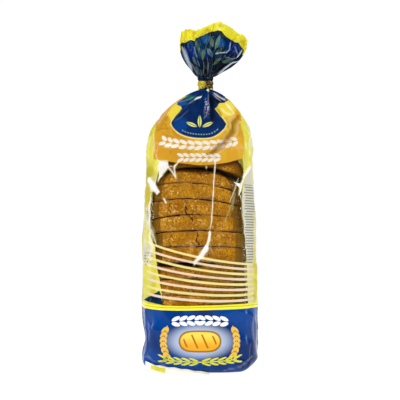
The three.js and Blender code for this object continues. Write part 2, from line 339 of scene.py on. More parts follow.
# Creases of the front film, as seen from the front: points (x, z), half width, height and strength
# Raised ones carry a painted white highlight, sunken ones a painted shade
CREASES = [
    # Long upright crease and the folded patch below it
    ([(12.4, 184), (12.9, 176), (11.8, 163), (10.9, 146), (9.9, 129), (8, 118)], 0.45, 0.6, 0.97),
    ([(8.6, 120), (7.6, 113), (5.6, 106)], 1.1, 0.9, 1),
    ([(6.6, 108), (4.2, 103), (0.4, 98), (-1.6, 95.5)], 2.3, 1.4, 1),
    ([(-2.2, 96.5), (-4.4, 94), (-4.6, 91.8)], 1.1, 0.8, 0.9),
    ([(8, 111), (9.3, 104), (12.4, 99)], 0.6, 0.4, 0.55),
    # Right diagonal
    ([(42.9, 177), (40.4, 170.4), (37.4, 166.4), (36.5, 163.2), (34.9, 158), (33, 150)], 0.95, 1.2, 1),
    ([(33, 165), (30, 157), (27.6, 150), (25.4, 144)], 0.6, 0.6, 0.75),
    ([(31, 154), (26.6, 142), (22.4, 131), (19.2, 123)], 0.55, 0.6, 0.55),
    ([(29.8, 149), (27.8, 141), (27, 136)], 0.7, 0.5, 0.45),
    ([(42.2, 181), (42.8, 176), (41.6, 172)], 0.6, 0.8, 0.6),
    # Left folds beside the loaf
    ([(-44.6, 166), (-42.6, 163), (-40, 158.5)], 2, 1.2, 1),
    ([(-41.4, 160), (-38.6, 154.8), (-37.6, 153.2)], 1.5, 1, 1),
    ([(-35, 177.5), (-32.4, 172), (-31.8, 168)], 2.4, 1, 0.9),
    ([(-29.6, 178.5), (-28.4, 173)], 1.3, 0.8, 0.9),
    ([(-18.6, 178.4), (-22, 174.4), (-21.4, 170.4), (-20.2, 164)], 0.65, 0.8, 0.97),
    ([(-28, 175.4), (-24, 170.8), (-21.6, 167.2), (-20.4, 164.4)], 0.6, 0.8, 0.97),
    ([(-22.4, 174), (-25.4, 175.4), (-27.6, 174.4)], 0.5, 0.6, 0.8),
    ([(-31.6, 148.4), (-30.6, 146.4), (-28.4, 143.2)], 0.75, 0.6, 1),
    ([(-41.6, 152), (-43.4, 143), (-44, 133), (-42, 122), (-38.2, 112), (-37, 107)], 0.7, 0.7, 0.9),
    ([(-44, 133), (-42.6, 120), (-42, 108), (-41.6, 102)], 1.1, 0.6, 0.8),
    ([(-41.6, 126), (-40.2, 117), (-38, 110)], 1.5, 0.5, 0.55),
    ([(-45.8, 145), (-46.6, 134), (-46.2, 126)], 0.9, 0.5, 0.4),
    ([(-40, 108), (-42.5, 100), (-42, 94)], 1.3, 0.5, 0.7),
    ([(-45.2, 138.5), (-45, 133), (-44.6, 127.5)], 0.9, -0.5, 0.4),
    ([(36.6, 118), (36.8, 93)], 0.8, 0.3, 0.28),
    ([(34.4, 131), (36.4, 116)], 0.6, 0.3, 0.2),
    ([(5.2, 175.2), (5.6, 172.8)], 0.7, 0.3, 0.8),
    # Right half of the golden field and the right side
    (
        [(34.4, 222.5), (31.6, 214), (29.6, 207.4), (24.2, 199.1), (17.7, 192.4), (11.3, 187.3), (6, 185)],
        2.7,
        -2.2,
        0.8,
    ),
    ([(37, 221), (34.6, 213), (32.2, 205.6), (26.8, 196.4), (19.8, 189), (12.4, 184)], 0.8, 1.2, 0.4),
    ([(22.6, 207), (20, 201.4), (16.4, 197)], 1.8, -0.9, 0.3),
    ([(30.6, 226), (27.4, 219), (26.4, 208)], 0.7, 0.7, 0.3),
    ([(24.6, 234.5), (29.6, 226.2), (31.4, 223.5)], 0.8, 0.8, 0.85),
    ([(18.6, 229), (24.2, 224.4), (29, 222.6)], 0.7, 0.7, 0.6),
    ([(40.2, 224), (43, 215), (43.6, 200), (42.6, 184)], 0.8, 0.9, 0.75),
    ([(44.4, 210), (45.4, 196), (45.2, 182)], 0.7, 0.7, 0.6),
    ([(38.6, 208), (39.8, 198), (39.6, 186)], 0.5, 0.5, 0.35),
    # Left half of the golden field and the left side
    ([(-40.6, 205), (-39.4, 197), (-39.6, 187)], 0.6, 0.6, 0.65),
    ([(-38.4, 186), (-36, 180), (-38.6, 178)], 0.6, 0.5, 0.5),
    ([(-43.6, 204), (-45.6, 192), (-44.8, 181)], 0.9, 0.8, 0.4),
    ([(-38.6, 208.4), (-32.4, 209.8), (-25, 209.2)], 0.9, -0.9, 0.4),
    ([(-26.4, 211.5), (-21.6, 204), (-15, 199.5), (-10, 197)], 1.3, -0.8, 0.35),
    ([(-34.5, 206.5), (-29, 203), (-22, 201)], 0.8, -0.7, 0.3),
    ([(-35.4, 219), (-31, 213.5), (-28.6, 207.4)], 0.9, -0.8, 0.35),
    ([(-12, 192.5), (-8.6, 186), (-9.4, 180)], 1.2, -0.6, 0.22),
    ([(-27.5, 224.2), (-32.7, 216.7), (-37.8, 207.1)], 1.1, -1, 0.25),
    ([(-29, 229), (-31.8, 222.6), (-36.4, 215)], 0.6, 0.6, 0.4),
    ([(-25.6, 212.2), (-28.4, 203), (-27.4, 197.5)], 1.2, -0.8, 0.2),
    # Blue field: the twist under the tie and the folds of its two wings
    ([(7.4, 243.5), (7.4, 236), (7.8, 229), (6, 222), (3.4, 218.4)], 0.7, 1.2, 0.3),
    ([(5, 238), (5, 231.5), (3.6, 226), (4, 221)], 0.55, 0.9, 0.25),
    ([(10, 244), (10.8, 235), (11.4, 226), (10.8, 215.5)], 2.3, -1.9, 0.97),
    ([(14.6, 229.5), (17.8, 224.5), (18.8, 219.5)], 1.2, -0.8, 0.6),
    ([(12.6, 246), (17, 242), (23, 237.6)], 0.55, 0.7, 0.65),
    ([(12.6, 243.6), (16.8, 239.6), (20.6, 236.2)], 0.5, 0.5, 0.45),
    ([(12, 241), (16, 237.8), (18.4, 234.8)], 1, -0.8, 0.8),
    ([(-4.6, 237.4), (-1.6, 239.2), (1.4, 241.4)], 0.7, 0.7, 0.95),
    ([(-14.5, 229), (-6, 236.5), (2, 243)], 0.45, 0.6, 0.35),
    ([(-20.4, 235), (-12, 237.6), (-5, 241.4)], 0.5, 0.5, 0.3),
    ([(-15.6, 229.4), (-9, 233), (-4.2, 236.8)], 1, -0.8, 0.5),
    ([(-22.2, 215.2), (-15.8, 220.2), (-10, 227)], 0.4, 0.4, 0.22),
    # Folds of the foot
    ([(-49, 14), (-38, 9), (-24, 6)], 0.9, 0.6, 0.2),
    ([(-44, 3.5), (-33, 8.5), (-26, 15)], 1.2, -0.8, 0.4),
    ([(20, 2), (34, 5.5), (46, 13)], 0.8, 0.7, 0.3),
    ([(40, 4), (43.5, 12), (44, 24)], 1.2, -0.8, 0.35),
    ([(-46, 44), (-43.6, 36), (-44.6, 26)], 0.8, 0.5, 0.25),
    ([(46, 46), (45.4, 36), (46.6, 24)], 0.8, 0.5, 0.25),
]

# Sharp folds painted white as highlights, as outlines (x, z)
GLARE_FOLDS = [
    [(-43.5, 164.9), (-41.2, 164.2), (-34.2, 153.2), (-37.4, 150.6)],
    [
        *((-35.4, 180), (-33.4, 176), (-33.4, 171.6), (-35.6, 165), (-37, 160.6)),
        *((-34.6, 164.4), (-29, 171), (-26.4, 174.4), (-27.4, 179.6)),
    ],
    [(6.4, 111), (7.4, 106), (2.6, 97.6), (-2.2, 93.6), (-5.4, 90.4), (-4.6, 94.6), (0.4, 101.2)],
]

# Outlines of the print on the front film, as (x, z)
BOWL_EDGE = [(-16.6, 229.3), (-22, 219.5), (-25.8, 213.5), (-19.5, 205.2), (-10.7, 200.8), (0, 199.2)]
BOWL_EDGE += [(10, 200), (17.8, 204.8), (23.2, 213.2)]
WING_EDGE = [(17.5, 221.7), (13.2, 228), (18.9, 234.5), (23.4, 235.1), (24.8, 239.2), (19, 266)]
WING_EDGE += [(-10, 266), (-14, 242), (-22, 235.8)]
BLUE_FIELD = rounded(BOWL_EDGE) + WING_EDGE
GOLD_FIELD = [(-40.7, 182), (-30, 179.8), (-18.6, 177.8), (0, 175.8), (12, 176.4), (23.6, 178.3)]
GOLD_FIELD += [(36.6, 182.2), (38.6, 190), (38, 199), (36.8, 212), (36, 222), (31.5, 233), (25.6, 240)]
GOLD_FIELD += [(-24.6, 240), (-33.6, 229), (-38.2, 219), (-39.6, 208), (-39.8, 199)]
LEFT_WEDGE = [(-22.5, 237), (-15.6, 229), (-24.8, 215.6), (-29.4, 222), (-27, 230)]
RIGHT_WEDGE = [(18.4, 236), (12.6, 228), (19, 219), (25, 220.5), (32, 224.5), (30, 232), (26, 239)]
WINDOW_LEFT = [(-33, 187), (-34.2, 174), (-37.8, 163), (-41.6, 152), (-43, 133), (-42, 116)]
WINDOW_LEFT += [(-38.5, 105), (-37, 92), (-33, 70), (-31.3, 50)]
WINDOW_RIGHT = [(41.5, 50), (40.4, 92), (38.1, 116.5), (35.8, 140), (36.6, 160), (37.6, 172), (36, 187)]
PANEL = [(41.6, 172), (38, 160), (35.8, 140), (38.1, 116.5), (40.4, 92), (41.5, 57)]
PANEL += [(46, 57), (46.8, 92), (47.6, 120), (47.8, 150), (44.5, 176)]
FOOT_CORNER = [(-34.5, 69.5), (-49.8, 60.6), (-31.3, 57)]


def crease_fields(x, z, front, creases):
    """Height, painted highlight and painted shade that the creases give to a film."""
    height = np.zeros_like(x)
    painted_glare = np.zeros_like(x)
    shade = np.zeros_like(x)
    for points, half_width, rise, strength in creases:
        away, place = line_distance(x, z, points)
        taper = np.minimum(1, 4 * np.minimum(place, 1 - place) + 0.3)
        wobble = 1 + 0.3 * ripple(x / 4 + 7, z / 4, len(points))
        profile = np.exp(-((away / (half_width * taper * wobble)) ** 2)) * front
        height += rise * taper * profile
        # Painted highlight along raised creases, painted shade in sunken ones
        if rise > 0:
            painted_glare = np.maximum(painted_glare, strength**2 * np.minimum(1, 1.7 * profile**1.3))
        else:
            shade = np.maximum(shade, strength * profile)
    return height, painted_glare, shade


def print_fields(x, z, across, front):
    """How far each point of the film lies inside each field of the print."""
    away = np.abs(across)
    back = {
        "window": np.minimum(BACK_WINDOW_X - away, np.minimum(z - BACK_WINDOW_LOW, BACK_WINDOW_HIGH - z)),
        "gold": np.minimum(BACK_GOLD_X - away, z - BACK_GOLD_Z),
        "blue": z - BACK_BLUE_Z,
    }
    fields = {
        "window": inside_depth(x, z, WINDOW_LEFT + WINDOW_RIGHT),
        "gold": inside_depth(x, z, GOLD_FIELD),
        "blue": inside_depth(x, z, BLUE_FIELD),
        "wedge": np.maximum(inside_depth(x, z, LEFT_WEDGE), inside_depth(x, z, RIGHT_WEDGE)),
        "panel": inside_depth(x, z, PANEL),
        "foot_corner": inside_depth(x, z, FOOT_CORNER),
    }
    for label, depth in fields.items():
        fields[label] = np.where(front, depth, back.get(label, -9)).clip(-9, 9)
    return fields


def body_film(material):
    """The film from the flat base up to the tie."""
    columns = 390
    angle = spread_angles(columns, 1.6)[None, :]
    heights = np.concatenate(
        [
            [0, 0.5, 1.2, 2.2, 3.6, 5.4, 7.5, 10],
            np.linspace(11.1, SHOULDER_Z, 156),
            NECK_LOW_Z - (NECK_LOW_Z - SHOULDER_Z) * np.linspace(1, 0, 82)[1:] ** 1.2,
            np.linspace(NECK_LOW_Z, TIE_Z + 2, 5)[1:],
        ]
    )
    z = heights[:, None] + 0 * angle
    angle = angle + 0 * z
    sine = np.sin(angle)
    across = print_across(angle)
    girth = np.sign(-sine) * across
    up = up_shoulder(z)
    radius = section_radius(angle, z)
    smooth_x = centre_x(z) + radius * np.cos(angle)
    front = smoothstep(-sine, -0.05, 0.25)

    # Gathers that run down the shoulder from the neck
    turns = angle / (2 * np.pi)
    gather = smoothstep(up, 0.12, 0.75) * (1 - smoothstep(up, 0.93, 1))
    wander = 0.35 * ripple(turns * 16, z / 26, 3)
    fine = ridges(turns * 40 + wander * 2, z / 60, 5) - 0.4
    broad = ridges(turns * 18 + wander, z / 80, 9) - 0.4
    lift = gather * (FINE_GATHER * fine + BROAD_GATHER * broad)

    # Loose film over the loaf's top, and slacker film down the two sides
    loose = smoothstep(z, 165, 195) * (1 - smoothstep(up, 0.5, 0.9))
    lift += loose * (LOOSE_FOLD * (ridges(across / 17 + z / 40, z / 24, 11) - 0.45))
    lift += loose * LOOSE_WRINKLE * (ridges(across / 7 - z / 30, z / 15, 13) - 0.4)
    slack = smoothstep(np.abs(across), 36, 52) * (1 - smoothstep(z, 170, 200))
    lift += slack * SIDE_SLACK * (ridges(girth / 13 + z / 90, z / 38, 17) - 0.45)
    lift += SURFACE_RIPPLE * ripple(girth / 9, z / 13, 19) * (1 - up)
    band = 1 - smoothstep(z, 46, 58)
    lift += band * FOOT_FOLD * (ridges(girth / 21, z / 17 + girth / 60, 23) - 0.4)
    low = 1 - smoothstep(z, 6, 24)
    lift += low * BASE_FOLD * (ridges(girth / 12, z / 22, 29) - 0.4)
    lift *= smoothstep(z, 0, 3)

    # The left side of the foot is pressed in
    dent = np.exp(-(((z - DENT_Z) / DENT_HALF_HEIGHT) ** 2)) * smoothstep(-np.cos(angle), 0.75, 0.97)
    lift -= LEFT_DENT * dent

    # The film sinks a little into the joints between slices
    joint = (z - LOAF_BASE - HEEL_THICKNESS) / SLICE_PITCH
    away = np.abs(joint - np.round(joint)) * SLICE_PITCH
    inside = smoothstep(z, 60, 66) * (1 - smoothstep(z, 165, 172))
    lift -= JOINT_DENT * np.exp(-((away / 2) ** 2)) * inside * smoothstep(-sine, -0.2, 0.6)

    height, painted_glare, shade = crease_fields(smooth_x, z, front, CREASES)
    # Painted white highlight inside each of these folds
    for corners in GLARE_FOLDS:
        painted_glare = np.maximum(painted_glare, 0.97 * front * smoothstep(inside_depth(smooth_x, z, corners), -0.35, 0.35))
    lift += height
    radius = radius + lift
    x = centre_x(z) + radius * np.cos(angle)
    y = radius * np.sin(angle)

    # The right front corner of the base is folded up off the ground
    folded = smoothstep(x, 34, 52) * front * (1 - smoothstep(z, 0, 16))
    points = np.stack([x, y, z + CORNER_LIFT * folded], -1)
    values = {"across": across, "painted_glare": painted_glare, "shade": shade}
    values.update(print_fields(smooth_x, z, across, sine < 0))

    # Flat base: rings round the middle, inside the lowest row
    shares = [0.1, 0.3, 0.55, 0.8]
    rings = [points[0] * [share, share, share**8] for share in shares]
    points = np.concatenate([rings, points])
    faces = grid_faces(*points.shape[:2]) + [list(reversed(range(columns)))]
    for label, numbers in values.items():
        lowest = np.zeros(columns) if label in ("painted_glare", "shade") else numbers[0]
        values[label] = np.concatenate([np.tile(lowest, len(shares)), numbers.reshape(-1)])
    return new_piece("film_body", points, faces, material, values)


# Creases of the fan's front, in the same form as those of the body
FAN_CREASES = [
    ([(-16.4, 288), (-13.4, 281), (-10.4, 273.6), (-7.4, 267)], 1.5, 0.8, 0.62),
    ([(-14.4, 288), (-11.6, 280), (-9.4, 274)], 0.6, 0.5, 0.4),
    ([(-5.4, 288.6), (-4.2, 282), (-2.6, 276.6)], 0.4, 0.5, 0.4),
    ([(14, 281), (17.7, 282.4), (24, 282.7), (26.9, 285.6), (27.8, 292.1)], 0.5, 0.8, 0.72),
    ([(38.6, 286), (36, 281.6), (33.6, 278.4)], 0.5, 0.6, 0.75),
    ([(33.6, 278.4), (29.2, 277.1), (23, 277.9)], 0.4, 0.5, 0.45),
    ([(31, 289), (33.2, 284), (34.6, 281)], 0.4, 0.4, 0.5),
    ([(12.6, 259.4), (19.3, 265.4), (29.2, 273.4), (38, 276.8)], 0.38, 0.6, 0.85),
    ([(13.4, 257.6), (20.4, 263.2), (30.4, 271.2), (37, 275)], 0.8, -0.6, 1),
    ([(15.4, 263.2), (24.9, 270.8), (30.8, 275)], 0.4, 0.4, 0.6),
    ([(12, 264.6), (20, 269.6), (28, 275.6)], 1.2, -0.8, 0.8),
    ([(3, 262), (3.6, 268), (3.2, 275)], 0.35, 0.5, 0.3),
    ([(6.8, 262), (7.8, 269), (6.6, 277)], 0.35, 0.5, 0.26),
    ([(9.4, 262), (11, 270), (11.6, 277)], 0.35, 0.5, 0.2),
    ([(5, 260), (5.6, 268), (4.4, 279)], 1, -1, 0.95),
    ([(9, 260), (10.2, 268), (13.2, 279)], 1.2, -1, 0.95),
    ([(0.6, 262), (-1.6, 270), (-4.6, 279)], 0.9, -0.9, 0.85),
    ([(13, 262), (17, 270), (20.6, 275)], 0.9, -0.7, 0.8),
    ([(-6.6, 291), (-3.6, 287), (-1.8, 281)], 0.8, -1, 0.7),
    ([(-8.6, 276), (-5.4, 269), (-2.4, 262)], 0.7, -0.7, 0.7),
    ([(12.6, 301), (13, 295), (12.6, 288)], 0.5, -0.7, 0.6),
    ([(0, 297), (2.4, 290), (4, 283)], 0.6, -0.8, 0.55),
    ([(-1.6, 262), (-4.6, 266.8), (-7.4, 273)], 0.5, 0.5, 0.35),
]

# Leaves printed on the fan: foot, tip and half width, first the olive ones, then the paler ones
OLIVE_LEAVES = [
    ((11.8, 286.6), (9.3, 298.4), 1.9),
    ((13.6, 284.6), (18.4, 298), 1.8),
    ((-0.4, 281.6), (-4, 293.4), 1.75),
    ((2.2, 275), (3.8, 286.2), 1.7),
    ((14, 280.2), (20.4, 287), 1.5),
    ((19.8, 273.4), (30.6, 276.2), 1.7),
    ((11.4, 270.8), (19.8, 277.8), 1.3),
]
PALE_LEAVES = [
    ((11.5, 277.8), (6.4, 287), 2),
    ((0, 269.4), (-7, 278.6), 1.8),
    ((2.2, 260.9), (-4.4, 270), 1.9),
    ((-10.2, 272.6), (-14.6, 282.2), 1.2),
    ((6.6, 264), (7.4, 274), 0.9),
]


def fan_length(side):
    left_drop = FAN_LEFT_DROP * smoothstep(-side, 0, 0.35)
    right_drop = FAN_RIGHT_DROP * smoothstep(side, 0, 0.6)
    notch = FAN_NOTCH * np.clip(1 - np.abs(side - FAN_NOTCH_AT) / FAN_NOTCH_HALF_WIDTH, 0, 1)
    corner_drop = FAN_CORNER_DROP * smoothstep(np.abs(side), 0.88, 1)
    return FAN_LENGTH - left_drop - right_drop - notch - corner_drop


def fan_film(material):
    """The loose film above the tie: one pleated loop of film, open at its mouth."""
    columns = 440
    angle = (np.arange(columns) / columns * 2 * np.pi)[None, :]
    low = np.linspace(TIE_Z - 3, NECK_HIGH_Z, 14)
    along = np.concatenate([np.zeros(len(low) - 1), np.linspace(0, 1, 80)])[:, None]
    neck_z = np.concatenate([low[:-1], np.full(80, NECK_HIGH_Z)])[:, None]
    side = np.cos(angle)
    layer = np.sin(angle)
    turns = angle / (2 * np.pi)
    wander = 0.3 * ripple(turns * 12, along * 3, 31)
    pleat = ridges(turns * 26 + wander, along * 1.5, 37) * 2 - 1
    fine = ridges(turns * 64 + wander, along * 2.5, 41) * 2 - 0.8
    lean = lerp(FAN_LEAN[0], FAN_LEAN[1], along)
    spread = lerp(FAN_SPREAD[0], FAN_SPREAD[1], along)
    bulge = FAN_BULGE * 4 * along * (1 - along)
    direction = lean + (spread + bulge) * side
    length = fan_length(side) + 0.7 * pleat
    reach = along * length
    # Crumpled neck just above the tie
    crumple = smoothstep(neck_z, TIE_Z + 2.5, TIE_Z + 6) * (1 - smoothstep(along, 0.05, 0.3))
    crumple = crumple * (1 + 0.9 * ridges(turns * 15, neck_z / 4, 43))
    neck_radius = NECK_RADIUS - 0.2
    thickness = lerp(neck_radius, FAN_HALF_DEPTH, smoothstep(along, 0, 0.5)) + 0.8 * crumple
    open_up = smoothstep(along, 0, 0.7)
    depth = thickness + open_up * (FAN_PLEAT_DEPTH * pleat + FAN_FINE_DEPTH * fine)
    x = NECK_X + (neck_radius + NECK_CRUMPLE * crumple) * side + reach * np.sin(direction)
    z = neck_z + reach * np.cos(direction)
    front = smoothstep(-layer, 0, 0.3) + 0 * z
    rim = (1 - along) * length + 0 * z
    height, painted_glare, shade = crease_fields(x, z, front, FAN_CREASES)
    y = (depth + height) * layer
    # Painted shade in the valleys between the pleats of the fan's lower half
    closeness = np.clip(1 - along, 0, 1)
    valley_shade = 0.6 * smoothstep(-pleat, 0.1, 0.9) * (0.15 + 0.85 * closeness) * (along > 0)
    shade = np.maximum(shade, valley_shade)
    # Painted highlight along the crests of the fine pleats
    crest_glare = 0.16 * smoothstep(fine, 0.85, 1.2) * smoothstep(along, 0.1, 0.5) * closeness
    painted_glare = np.maximum(painted_glare, crest_glare)
    points = np.stack([x, y, z], -1)
    values = {
        "rim": rim,
        "side": side + 0 * z,
        "painted_glare": painted_glare,
        "shade": shade,
        "front": front,
        "olive": leaves_depth(x, z, OLIVE_LEAVES),
        "pale": leaves_depth(x, z, PALE_LEAVES),
    }
    return new_piece("film_fan", points, grid_faces(*z.shape), material, values)


# Shader building


def connect(tree, value, socket):
    """Link a field or a socket to an input, or set the input to a number or a screen colour."""
    if isinstance(value, Field):
        value = value.socket
    if isinstance(value, bpy.types.NodeSocket):
        tree.links.new(value, socket)
    elif socket.type == "RGBA":
        socket.default_value = tone(*value)
    else:
        socket.default_value = value


def add_node(tree, kind, inputs, **settings):
    """A new node, with inputs by name or number."""
    node = tree.nodes.new("ShaderNode" + kind)
    for name, value in settings.items():
        setattr(node, name, value)
    for key, value in inputs.items():
        connect(tree, value, node.inputs[key])
    return node


class Field:
    """A number that varies over a surface, kept as an output socket of a node tree."""

    def __init__(self, tree, socket):
        self.tree = tree
        self.socket = socket

    def math(self, operation, other=0):
        node = add_node(self.tree, "Math", {0: self, 1: other}, operation=operation)
        return Field(self.tree, node.outputs[0])

    def __add__(self, other):
        return self.math("ADD", other)

    def __sub__(self, other):
        return self.math("SUBTRACT", other)

    def __mul__(self, other):
        return self.math("MULTIPLY", other)

    def __truediv__(self, other):
        return self.math("DIVIDE", other)

    def __neg__(self):
        return self.math("MULTIPLY", -1)

    def __abs__(self):
        return self.math("ABSOLUTE")

    __radd__ = __add__
    __rmul__ = __mul__

    def flip(self):
        """One minus this field."""
        return (-self) + 1

    def least(self, other):
        return self.math("MINIMUM", other)

    def most(self, other):
        return self.math("MAXIMUM", other)

    def cycle(self):
        """From -0.5 to 0.5 over each whole number."""
        return self.math("FRACT") - 0.5

    def ramp(self, low, high):
        """0 below low, 1 above high, smooth between."""
        inputs = {"Value": self, "From Min": low, "From Max": high}
        node = add_node(self.tree, "MapRange", inputs, interpolation_type="SMOOTHSTEP")
        return Field(self.tree, node.outputs["Result"])

    def above(self, edge, soft=0.25):
        return (self - edge).ramp(-soft, soft)

    def below(self, edge, soft=0.25):
        return self.above(edge, soft).flip()

    def within(self, half, soft=0.25):
        return abs(self).below(half, soft)

    def squared(self):
        return self * self


class Surface:
    """A material under construction: its tree, its colour and its point coordinates in millimetres."""

    def __init__(self, name):
        self.material = bpy.data.materials.new(name)
        self.material.use_nodes = True
        self.tree = self.material.node_tree
        self.tree.nodes.clear()
        self.colour = None
        self.output = self.add("OutputMaterial", {})
        self.vector = self.add("TexCoord", {}).outputs["Object"]
        split = self.add("SeparateXYZ", {0: self.vector})
        self.x, self.y, self.z = [Field(self.tree, socket) * 1000 for socket in split.outputs]

    def add(self, kind, inputs, **settings):
        return add_node(self.tree, kind, inputs, **settings)

    def attribute(self, name):
        node = self.add("Attribute", {}, attribute_name=name)
        return Field(self.tree, node.outputs["Fac"])

    def noise(self, scale, detail=3, upright=1, roughness=0.5):
        """Noise from about 0 to 1, with its features per metre and how much denser they are along Z."""
        vector = self.vector
        if upright != 1:
            vector = self.add("Mapping", {"Vector": vector, "Scale": (1, 1, upright)}).outputs[0]
        inputs = {"Vector": vector, "Scale": scale, "Detail": detail, "Roughness": roughness}
        return Field(self.tree, self.add("TexNoise", inputs).outputs["Fac"])

    def cells(self, scale):
        """Distance to the nearest scattered point, from 0 up to about 1."""
        node = self.add("TexVoronoi", {"Vector": self.vector, "Scale": scale})
        return Field(self.tree, node.outputs["Distance"])

    def mix(self, under, over, mask):
        return self.add("Mix", {0: mask, 6: under, 7: over}, data_type="RGBA").outputs[2]

    def paint(self, over, mask):
        """Lay a colour over the surface's own."""
        self.colour = self.mix(self.colour, over, mask)

    def patches(self, colour, table):
        """The colour with soft round patches on it: colour, (x, z, half width, half height), strength."""
        for over, place, strength in table:
            colour = self.mix(colour, over, spot(self.x, self.z, *place) * strength)
        return colour

    def shader(self, kind, **inputs):
        named = {name.replace("_", " "): value for name, value in inputs.items()}
        return self.add(kind, named).outputs[0]

    def mix_shaders(self, under, over, mask):
        return self.add("MixShader", {0: mask, 1: under, 2: over}).outputs[0]

    def bump(self, height, strength, distance=0.001):
        return self.add("Bump", {"Strength": strength, "Distance": distance, "Height": height}).outputs[0]

    def finish(self, shader):
        self.tree.links.new(shader, self.output.inputs["Surface"])
        return self.material


def tone(red, green, blue):
    """Screen colour from 0 to 255 as a linear colour."""
    linear = []
    for value in (red, green, blue):
        share = value / 255
        linear.append(share / 12.92 if share <= 0.04045 else ((share + 0.055) / 1.055) ** 2.4)
    return (*linear, 1)


def turned(x, z, at_x, at_z, degrees):
    """Coordinates across and along a mark that is turned clockwise from upright."""
    cosine = math.cos(math.radians(degrees))
    sine = math.sin(math.radians(degrees))
    dx = x - at_x
    dz = z - at_z
    return dx * cosine - dz * sine, dx * sine + dz * cosine


def spot(x, z, at_x, at_z, half_x, half_z):
    """A soft round patch."""
    away = ((x - at_x) / half_x).squared() + ((z - at_z) / half_z).squared()
    return away.ramp(0.1, 1).flip()


def grain_row(u, v, pitch, height, first, last):
    """An ear of grain that lies along u: leaning pairs of grains on both sides of its stalk."""
    lean = (u + abs(v) * 0.9) / pitch
    cell = lean.cycle() * 2.15
    off = (abs(v) - height * 0.27) / (height * 0.24)
    counted = lean.above(first, 0.01) * lean.below(last, 0.01)
    return (cell.squared() + off.squared()).below(1, 0.22) * counted


def leaf_row(u, v, pitch, height, last):
    """A garland that lies along u: leaning pairs of pointed leaves on both sides of its stem."""
    lean = u - abs(v) * 1.1
    cell = (lean / pitch).cycle()
    width = (cell * 2).squared().flip() * height * 0.36
    leaf = (width - abs(abs(v) - height * 0.56 - cell * 1.5)).ramp(-0.1, 0.25)
    return leaf * lean.above(0, 0.1) * lean.below(pitch * last, 0.1)


def film_surface(s, cover, glow, normal, painted_glare=None, glare_colour=(255, 255, 253), shine=0.15):
    """Printed film: clear where cover is 0, with painted white highlights on its creases and a glossy face.
    """
    solid = cover
    if painted_glare is not None:
        # Painted highlights laid over the print where the creases are
        s.paint(glare_colour, painted_glare)
        solid = (painted_glare * 0.95 + cover).least(1)
    printed = s.shader(
        "BsdfPrincipled",
        Base_Color=s.colour,
        Roughness=0.15,
        Specular_IOR_Level=shine,
        Normal=normal,
    )
    lit_through = s.shader("BsdfTranslucent", Color=s.colour)
    printed = s.mix_shaders(printed, lit_through, glow)
    clear = s.shader("BsdfTransparent")
    gloss = s.shader("BsdfGlossy", Color=(255, 255, 255), Roughness=0.1, Normal=normal)
    fresnel = s.add("Fresnel", {"IOR": FILM_IOR, "Normal": normal})
    clear = s.mix_shaders(clear, gloss, Field(s.tree, fresnel.outputs[0]).least(MOST_GLOSS))
    return s.finish(s.mix_shaders(clear, printed, solid))


# Patches of other blues: colour, (x, z, half width, half height) and strength
BLUE_PATCHES = [
    ((0, 68, 146), (-17, 212, 9, 10), 0.6),
    ((22, 96, 92), (-9, 240, 8, 3.6), 0.9),
    ((28, 84, 150), (-16, 234, 7, 3), 0.7),
    # Near-black painted shade right of the twist under the tie
    ((6, 12, 22), (15, 238, 9, 7), 0.7),
]
FAN_PATCHES = [
    ((0, 34, 104), (-9.5, 283, 7, 8.4), 1),
    ((0, 34, 104), (6.6, 279, 3.2, 3.84), 1),
    ((0, 34, 104), (31, 290, 9, 10.8), 1),
    ((14, 84, 144), (4.6, 296, 5.5, 5.5), 0.9),
    ((14, 84, 144), (18.5, 291.5, 5.5, 5.5), 0.9),
]

# Three leaves on the blue field: turn in degrees, x, z and half length
LEAF_BLADES = [(-64, -7.2, 212.4, 5.6), (64, 6.6, 212.4, 5.6), (0, -0.3, 215.4, 6.4)]


